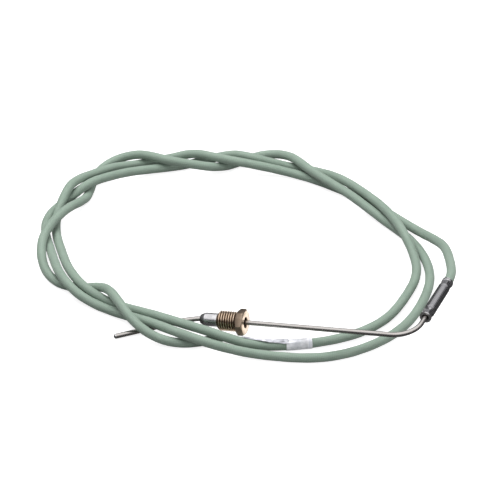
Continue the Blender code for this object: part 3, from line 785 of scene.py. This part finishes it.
def build_label(line, inside, film_mat, paper_mat):
    """Clear film round the first turn, over a blank white wrap at one end."""
    stretch = smooth_line(line[inside[0]:inside[-1] + 1], FILM_STEP)
    radius = film_radii(np.linspace(0, 1, len(stretch)))
    outer = swept_rows(stretch, radius, FILM_COLUMNS)
    inner = swept_rows(stretch, radius - FILM_THICKNESS, FILM_COLUMNS)
    sleeve = lattice("label_film", np.concatenate([outer, inner[::-1]]), film_mat, looped=True)
    piece(sleeve, MAIN_BODY, "clear_label", "label_sleeve")

    first = int(BAND_START * len(stretch))
    outer = swept_rows(stretch[first:], radius[first:] + BAND_OUTER_GAP, FILM_COLUMNS)
    inner = swept_rows(stretch[first:], radius[first:] + BAND_INNER_GAP, FILM_COLUMNS)
    band = lattice("label_band", np.concatenate([outer, inner[::-1]]), paper_mat, looped=True)
    piece(band, MAIN_BODY, "clear_label")


def build_loose_film(line, inside, mat):
    """The film's loose tail, which lies on the strand before the label and lifts as it nears it."""
    before = line[inside[0] - round(TAIL_FILM_LENGTH / CABLE_STEP):inside[0] + 2]
    strip = smooth_line(before, TAIL_FILM_STEP)
    sides, ups = carried_frames(strip)
    across = np.linspace(0, 1, TAIL_FILM_COLUMNS)
    rows = []
    for point, side, up, share in zip(strip, sides, ups, np.linspace(0, 1, len(strip))):
        sway = drift_at(point, TAIL_FILM_SWAY_SCALE)
        width = math.radians(TAIL_FILM_WIDTH + TAIL_FILM_WIDENING * ease(share))
        middle = math.radians(TAIL_FILM_BEARING + TAIL_FILM_TURN * share + TAIL_FILM_SWAY * sway)
        angle = middle + (across - 0.5) * width
        ripple = TAIL_FILM_RIPPLE * np.sin(3 * math.pi * (across + share))
        lift = TAIL_FILM_RISE * ease(share) * (1 + 0.4 * sway) + ripple
        under = CABLE_RADIUS + TAIL_FILM_GAP + lift
        away = np.concatenate([under + TAIL_FILM_THICKNESS, under[::-1]])[:, None]
        angle = np.concatenate([angle, angle[::-1]])[:, None]
        rows.append(point + (side * np.cos(angle) + up * np.sin(angle)) * away)
    piece(lattice("label_tail", rows, mat, capped=True), MAIN_BODY, "clear_label")


# ---- the probe ----------------------------------------------------------------------------------
def build_probe(mat, tip_mat):
    """Drawn tube with a bend, and the domed weld that closes its tip."""
    stations = ring_centres("probe_sheath", box_centre("tip_plug"), SHEATH_RING)
    line = smooth_line(divided(stations, SHEATH_LONGEST_STRETCH), SHEATH_STEP)
    rows = tube_rows(line, SHEATH_RADIUS, SHEATH_BORE_RADIUS, SHEATH_COLUMNS)
    piece(lattice("sheath", rows, mat, looped=True), MAIN_BODY, "sheath_steel", "probe_sheath")

    axis = unit(line[0] - line[1])
    back, front, widest = reach("tip_plug", line[0], axis)
    dome = [(widest * math.cos(a), TIP_SEAM + (front - TIP_SEAM) * math.sin(a) ** TIP_BLUNTNESS)
            for a in np.linspace(0.0, 1.5, 12)]
    profile = np.array([(TIP_CENTRE_RADIUS, back), (TIP_PLUG_RADIUS, back), (TIP_PLUG_RADIUS, TIP_SEAM),
                        *dome, (TIP_CENTRE_RADIUS, front)])
    rows = turned_rows(profile[:, :1], profile[:, 1:], SHEATH_COLUMNS, stand(line[0], axis))
    piece(lattice("tip", rows, tip_mat, looped=True), MAIN_BODY, "sheath_steel", "tip_plug")


def sleeve_bore(start, end, widest):
    """Outline of the sleeve's inside, from its cable end to its neck: radii and heights."""
    rim = widest - RIM_INSET
    return np.array([
        (rim, end), (widest - SLEEVE_WALL, end), (SLEEVE_BORE_RADIUS, end - 0.6 * MM),
        (SLEEVE_BORE_RADIUS, start + 8 * MM), (SHEATH_CLEAR_RADIUS, start + 6.5 * MM),
        (SHEATH_CLEAR_RADIUS, start + 1.6 * MM), (1.75 * MM, start + 1.0 * MM),
        (1.9 * MM, start + 0.4 * MM), (2.2 * MM, start), (rim, start),
    ])


def build_sleeve(mat, origin, axis):
    """Steel sleeve pressed on at both ends with six flats, its bore flared at both mouths."""
    start, end, widest = reach("transition_sleeve", origin, axis)
    place = stand(origin, axis)
    heights = np.arange(start, end + 0.1 * MM, SLEEVE_ROW_STEP)[:, None]
    heights[-1] = end
    angle = turns(SLEEVE_COLUMNS)[None, :] + CRIMP_TURN
    side = 2 * math.pi / CRIMP_FLATS
    radius = np.full((len(heights), SLEEVE_COLUMNS), widest - SLEEVE_INSET)
    # Painted glints, bright at the sleeve's two rims
    painted_glint = bell(heights - start, RIM_WIDTH) + 0.5 * bell(heights - end, RIM_WIDTH)
    for low, high, apothem in ((start + CRIMP_MARGIN, start + NECK_CRIMP_REACH, NECK_CRIMP_APOTHEM),
                               (end - CRIMP_REACH, end - CRIMP_MARGIN, CRIMP_APOTHEM)):
        zone = window(heights, low, high, CRIMP_EASE)
        flat = np.minimum(apothem / np.cos(angle % side - side / 2), widest)
        radius += zone * (flat - widest)
        # painted glints where each crimp's flats meet the round, on one half of every flat
        edge = 4 * zone * (1 - zone) * (np.cos(CRIMP_FLATS * angle) > 0)
        painted_glint = np.maximum(painted_glint, CRIMP_GLINT * edge)
    for groove in (start + GROOVE_FROM_START, end - GROOVE_FROM_END):
        radius -= GROOVE_DEPTH * bell(heights - groove, GROOVE_WIDTH)

    bore = sleeve_bore(start, end, widest)
    rows = np.concatenate([turned_rows(radius, heights, SLEEVE_COLUMNS, place),
                           turned_rows(bore[:, :1], bore[:, 1:], SLEEVE_COLUMNS, place)])
    painted_glint = np.concatenate([painted_glint, np.zeros((len(bore), SLEEVE_COLUMNS))])
    # painted glint round the mouth at the sleeve's neck
    painted_glint[-2:] = NECK_GLINT
    sleeve = lattice("crimp_sleeve", rows, mat, looped=True, marks=painted_glint)
    piece(sleeve, MAIN_BODY, "sleeve_steel", "transition_sleeve")


# ---- the gland ----------------------------------------------------------------------------------
def thread_height(share):
    """Height of a rounded 60 degree thread across one pitch, 0 at the root and 1 on the crest."""
    from_root = 0.5 - np.abs(share - 0.5) - THREAD_ROOT_SHARE
    ridge = np.clip(from_root / THREAD_FLANK_SHARE, 0, 1)
    return THREAD_STRAIGHTNESS * ridge + (1 - THREAD_STRAIGHTNESS) * ease(ridge)


def thread_rows(start, end, angle):
    """Rows of radius, height and painted shade for the helix; it is chamfered where it starts."""
    root = THREAD_CREST_RADIUS - THREAD_DEPTH
    rows = []
    for height in np.arange(start + THREAD_FIRST_ROW, end, THREAD_PITCH / THREAD_ROWS_PER_PITCH):
        share = (height / THREAD_PITCH - angle / (2 * math.pi)) % 1
        grown = ease((height - start - THREAD_GROWTH_START) / THREAD_GROWTH)
        ridge = thread_height(share) * grown * ease((end - height) / THREAD_FADE)
        chamfer = root - THREAD_CHAMFER_DEPTH + (height - start) * math.tan(THREAD_CHAMFER)
        # the third value is painted shade, full in the thread's roots and gone on its crests
        rows.append((np.minimum(root + THREAD_DEPTH * ridge, chamfer), height, ease(1 - 1.6 * ridge)))
    return rows


def build_nut(mat, origin, axis):
    """Male nut: bore, helical thread, undercut, and a chamfered hexagon, with painted shade in its
    hollows and on its hexagon's sides.
    """
    start, end, corner = reach("gland_nut", origin, axis)
    angle = turns(NUT_COLUMNS)
    apothem = corner * math.cos(math.pi / 6)
    hexagon = apothem / np.cos((angle % (math.pi / 3)) - math.pi / 6)
    face = HEX_FACE_SHARE * apothem
    drop = (hexagon - face) * math.tan(HEX_CHAMFER)
    part_way = face + HEX_CHAMFER_STEP * (hexagon - face)
    shoulder = end - NUT_HEX_LENGTH
    thread_end = shoulder - THREAD_RUNOUT
    root = THREAD_CREST_RADIUS - THREAD_DEPTH
    bore, mouth = NUT_BORE_RADIUS, NUT_BORE_RADIUS + NUT_MOUTH_WIDTH

    outline = [  # radius, height, painted shade
        (bore, start + 0.5 * MM, 1.0),
        (bore + 0.35 * MM, start + 0.03 * MM, 0.0),
        (mouth, start, 0.0),
        (root - 0.3 * MM, start, 0.0),
        *thread_rows(start, thread_end, angle),
        (root, thread_end, 1.0),
        (root, shoulder - SHOULDER_FILLET, 1.0),
        (root + SHOULDER_FILLET, shoulder, 1.0),
        (root + 0.6 * MM, shoulder, 0.3),
        (face, shoulder, 0.0),
        (part_way, shoulder + HEX_CHAMFER_STEP * drop, 0.0),
        (hexagon - HEX_EDGE_DROP, shoulder + drop, 0.0),
        # painted shade on the hexagon's sides
        (hexagon, shoulder + drop + HEX_EDGE_LENGTH, 0.6),
        (hexagon, end - drop - HEX_EDGE_LENGTH, 0.55),
        (hexagon - HEX_EDGE_DROP, end - drop, 0.0),
        (part_way, end - HEX_CHAMFER_STEP * drop, 0.0),
        (face, end, 0.0),
        (mouth, end, 0.0),
        (bore + 0.1 * MM, end - 0.35 * MM, 0.8),
        (bore, end - 0.6 * MM, 1.0),
    ]
    radii, heights, painted_shade = (np.array([np.broadcast_to(row[k], angle.shape) for row in outline])
                             for k in range(3))
    place = stand(origin, axis, farthest_side("gland_nut", origin, axis))
    rows = turned_rows(radii, heights, NUT_COLUMNS, place)
    piece(lattice("nut", rows, mat, looped=True, marks=painted_shade), "gland", "brass", "gland_nut")


def build_olive(mat, origin, axis):
    """Turned ring with a cone at its front, darkened with painted shade."""
    start, end, widest = reach("olive", origin, axis)
    bore = SHEATH_CLEAR_RADIUS
    cone_end = start + OLIVE_CONE_LENGTH
    profile = rounded([
        (bore, start), (OLIVE_NOSE_RADIUS, start), (widest, cone_end), (widest, end - OLIVE_CHAMFER),
        (widest - OLIVE_CHAMFER, end), (bore + OLIVE_BORE_CHAMFER, end), (bore, end - OLIVE_BORE_CHAMFER),
    ], OLIVE_ROUNDING, 5)
    radii, heights = profile[:, :1], profile[:, 1:]
    rows = turned_rows(radii, heights, OLIVE_COLUMNS, stand(origin, axis))
    # Painted shade over the cone, fading out at its wide end.
    painted_shade = OLIVE_CONE_SHADE * ease((cone_end - heights) / OLIVE_SHADE_EDGE)
    painted_shade = np.repeat(painted_shade, OLIVE_COLUMNS, axis=1)
    piece(lattice("olive_ring", rows, mat, looped=True, marks=painted_shade), "olive", "olive_steel", "olive")


# ---- stage --------------------------------------------------------------------------------------
def build_floor(height):
    """Pale floor: white to the camera, dimmer as a bounce, and bright in mirror images by the nut."""
    mesh = bpy.data.meshes.new("floor")
    half = FLOOR_HALF_SIZE
    mesh.from_pydata([(-half, -half, 0), (half, -half, 0), (half, half, 0), (-half, half, 0)], [],
                     [(0, 1, 2, 3)])
    floor = bpy.data.objects.new("floor", mesh)
    floor.location.z = height
    bpy.context.scene.collection.objects.link(floor)

    mat, tree, shader = new_material("pale_floor")
    grain = noise_value(tree, millimetres(tree), 0.02, detail=3)
    finish_shader(tree, shader, ramp(tree, grain, (0.3, grey(0.42)), (0.7, grey(0.46))), 0.8)
    glow = node(tree, "Emission", Color=grey(1), Strength=FLOOR_GLOW)
    seen = node(tree, "AddShader", i0=glow.outputs[0], i1=shader.outputs[0])
    dim = node(tree, "BsdfDiffuse", Color=grey(FLOOR_BOUNCE))
    distance = node(tree, "VectorMath", {"operation": "DISTANCE"}, i0=millimetres(tree),
                    i1=REFLECTOR_PLACE).outputs["Value"]
    fade = span(tree, distance, REFLECTOR_GLOW, REFLECTOR_DIMMEST, REFLECTOR_FADE_START,
                REFLECTOR_FADE_END)
    mirrored = node(tree, "Emission", Color=grey(1), Strength=fade)
    rays = node(tree, "LightPath").outputs
    unseen = node(tree, "MixShader", i0=rays["Is Glossy Ray"], i1=dim.outputs[0],
                  i2=mirrored.outputs[0])
    show(tree, node(tree, "MixShader", i0=rays["Is Camera Ray"], i1=unseen.outputs[0],
                    i2=seen.outputs[0]))
    mesh.materials.append(mat)
    floor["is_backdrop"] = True


def soft_light(name, place, target, width, height, watts):
    """Rectangular lamp that lights the pieces but is left out of their mirror images."""
    light = bpy.data.lights.new(name, "AREA")
    light.shape = "RECTANGLE"
    light.size, light.size_y = width, height
    light.energy = watts
    obj = bpy.data.objects.new(name, light)
    obj.location = place
    obj.rotation_euler = (Vector(target) - Vector(place)).to_track_quat("-Z", "Y").to_euler()
    obj.visible_glossy = False
    bpy.context.scene.collection.objects.link(obj)


def build_studio():
    """The lamps, and a sky whose mirror image is a softbox over a dark room."""
    for lamp in LAMPS:
        soft_light(*lamp)
    world = bpy.data.worlds.new("studio")
    world.use_nodes = True
    tree = world.node_tree
    direction = node(tree, "TexCoord").outputs["Generated"]
    upward = node(tree, "SeparateXYZ", Vector=direction).outputs[2]
    sky = ramp(tree, upward, (0.0, (0.08, 0.08, 0.085)), (0.35, (0.15, 0.15, 0.155)),
               (0.75, (0.4, 0.4, 0.41)))
    mirrored = ramp(tree, upward, (0.0, grey(0.10)), (0.42, (0.07, 0.07, 0.075)),
                    (0.6, (0.8, 0.8, 0.81)), (0.85, grey(1.0)))
    glossy = node(tree, "LightPath").outputs["Is Glossy Ray"]
    background = tree.nodes["Background"]
    fill(tree, background, "Color", mixed(tree, glossy, sky, mirrored))
    fill(tree, background, "Strength", span(tree, glossy, 1.0, MIRRORED_SKY_STRENGTH))
    bpy.context.scene.world = world
    bpy.context.scene.view_settings.view_transform = "Standard"


def build_camera():
    back = Vector((0, -math.cos(CAMERA_ELEVATION), math.sin(CAMERA_ELEVATION)))
    data = bpy.data.cameras.new("camera")
    data.lens = CAMERA_LENS
    data.sensor_width = CAMERA_SENSOR
    data.clip_end = CAMERA_FARTHEST
    camera = bpy.data.objects.new("camera", data)
    camera.location = CAMERA_AIM + back * CAMERA_DISTANCE
    camera.rotation_euler = (-back).to_track_quat("-Z", "Y").to_euler()
    bpy.context.scene.collection.objects.link(camera)
    bpy.context.scene.camera = camera


# ---- putting it together ------------------------------------------------------------------------
def build_cable():
    """The jacket, its conductors and pins, its label, and the sleeve at its front."""
    stations = ring_centres("cable_jacket", box_centre("sleeve_potting"), JACKET_RING)
    line = smooth_line(stations, CABLE_STEP)
    build_jacket(silicone(), line)
    core = drawn_steel("core_wire", (0.62, 0.60, 0.57), (0.40, 0.38, 0.36), rough=0.3)
    nickel = turned_metal("plated_pin", (0.72, 0.71, 0.68), (0.45, 0.44, 0.42), (0.28, 0.27, 0.25),
                          rough=0.22, pitch=0.2, tarnish_share=0.4)
    green = braid("green_braid", (0.10, 0.36, 0.15), (0.05, 0.20, 0.08))
    white = braid("white_braid", (0.82, 0.82, 0.82), (0.55, 0.56, 0.58))
    build_conductor("positive", green, core, nickel, "green_insulation")
    build_conductor("negative", white, core, nickel, "white_insulation")

    low, high = (np.array(corner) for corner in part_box("label_sleeve"))
    inside = np.nonzero((line > low).all(axis=1) & (line < high).all(axis=1))[0]
    build_label(line, inside, film("clear_film", (0.80, 0.81, 0.86), (0.94, 0.94, 0.98)), paper())
    # The loose tail's film is a darker grey copy of the clear film: painted shade.
    build_loose_film(line, inside, film("shaded_loose_film", (0.36, 0.37, 0.41), (0.80, 0.80, 0.86)))

    sleeve_steel = drawn_steel("dark_sleeve", (0.46, 0.455, 0.465), (0.22, 0.22, 0.23), rough=0.26)
    build_sleeve(sleeve_steel, line[0], unit(line[CABLE_START_STATIONS] - line[0]))


def build_gland():
    """The nut and the olive, about the axis of the joint that turns the nut."""
    joint = next(j for j in frame["joints"] if j["name"] == "gland_spin")
    origin, axis = np.array(joint["pos_m"]), unit(np.array(joint["axis"]))
    brass = turned_metal("machined_brass", (0.87, 0.71, 0.56), (0.48, 0.36, 0.26), (0.26, 0.17, 0.11),
                         rough=0.2, pitch=0.14, tarnish_share=0.45)
    build_nut(brass, origin, axis)
    olive_steel = turned_metal("bright_olive", (0.80, 0.80, 0.82), (0.50, 0.49, 0.50),
                               (0.26, 0.25, 0.25), rough=0.24, pitch=0.25, tarnish_share=0.45)
    build_olive(olive_steel, origin, axis)


def finish_hidden_pieces():
    """Procedural finishes for the CAD solids that stay, deep inside the probe and the sleeve."""
    powder = cloudy("packed_magnesia", (0.86, 0.85, 0.81), (0.72, 0.70, 0.66), rough=0.9, scale=0.8)
    resin = cloudy("cured_resin", (0.14, 0.12, 0.10), (0.06, 0.05, 0.04), rough=0.55, scale=0.5)
    wire = cloudy("alloy_wire", (0.55, 0.53, 0.50), (0.36, 0.35, 0.34), rough=0.35, scale=1.5,
                  metallic=1.0, strength=0.15)
    finishes = {
        "mineral_insulation": powder, "sleeve_potting": resin, "hot_junction_bead": wire,
        "thermo_wire_positive": wire, "thermo_wire_negative": wire,
        "splice_barrel_positive": wire, "splice_barrel_negative": wire,
    }
    for name, mat in finishes.items():
        mesh = frame["nodes"][name].data
        mesh.materials.clear()
        mesh.materials.append(mat)


def main():
    build_cable()
    build_probe(drawn_steel("drawn_sheath", (0.60, 0.575, 0.555), (0.38, 0.36, 0.345), rough=0.25,
                            heat=(0.36, 0.31, 0.28)),
                drawn_steel("weld_tip", grey(0.80), grey(0.52), rough=0.24))
    build_gland()
    finish_hidden_pieces()
    build_floor(min(0.0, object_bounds()[0].z) - FLOOR_DROP)
    build_studio()
    build_camera()


main()
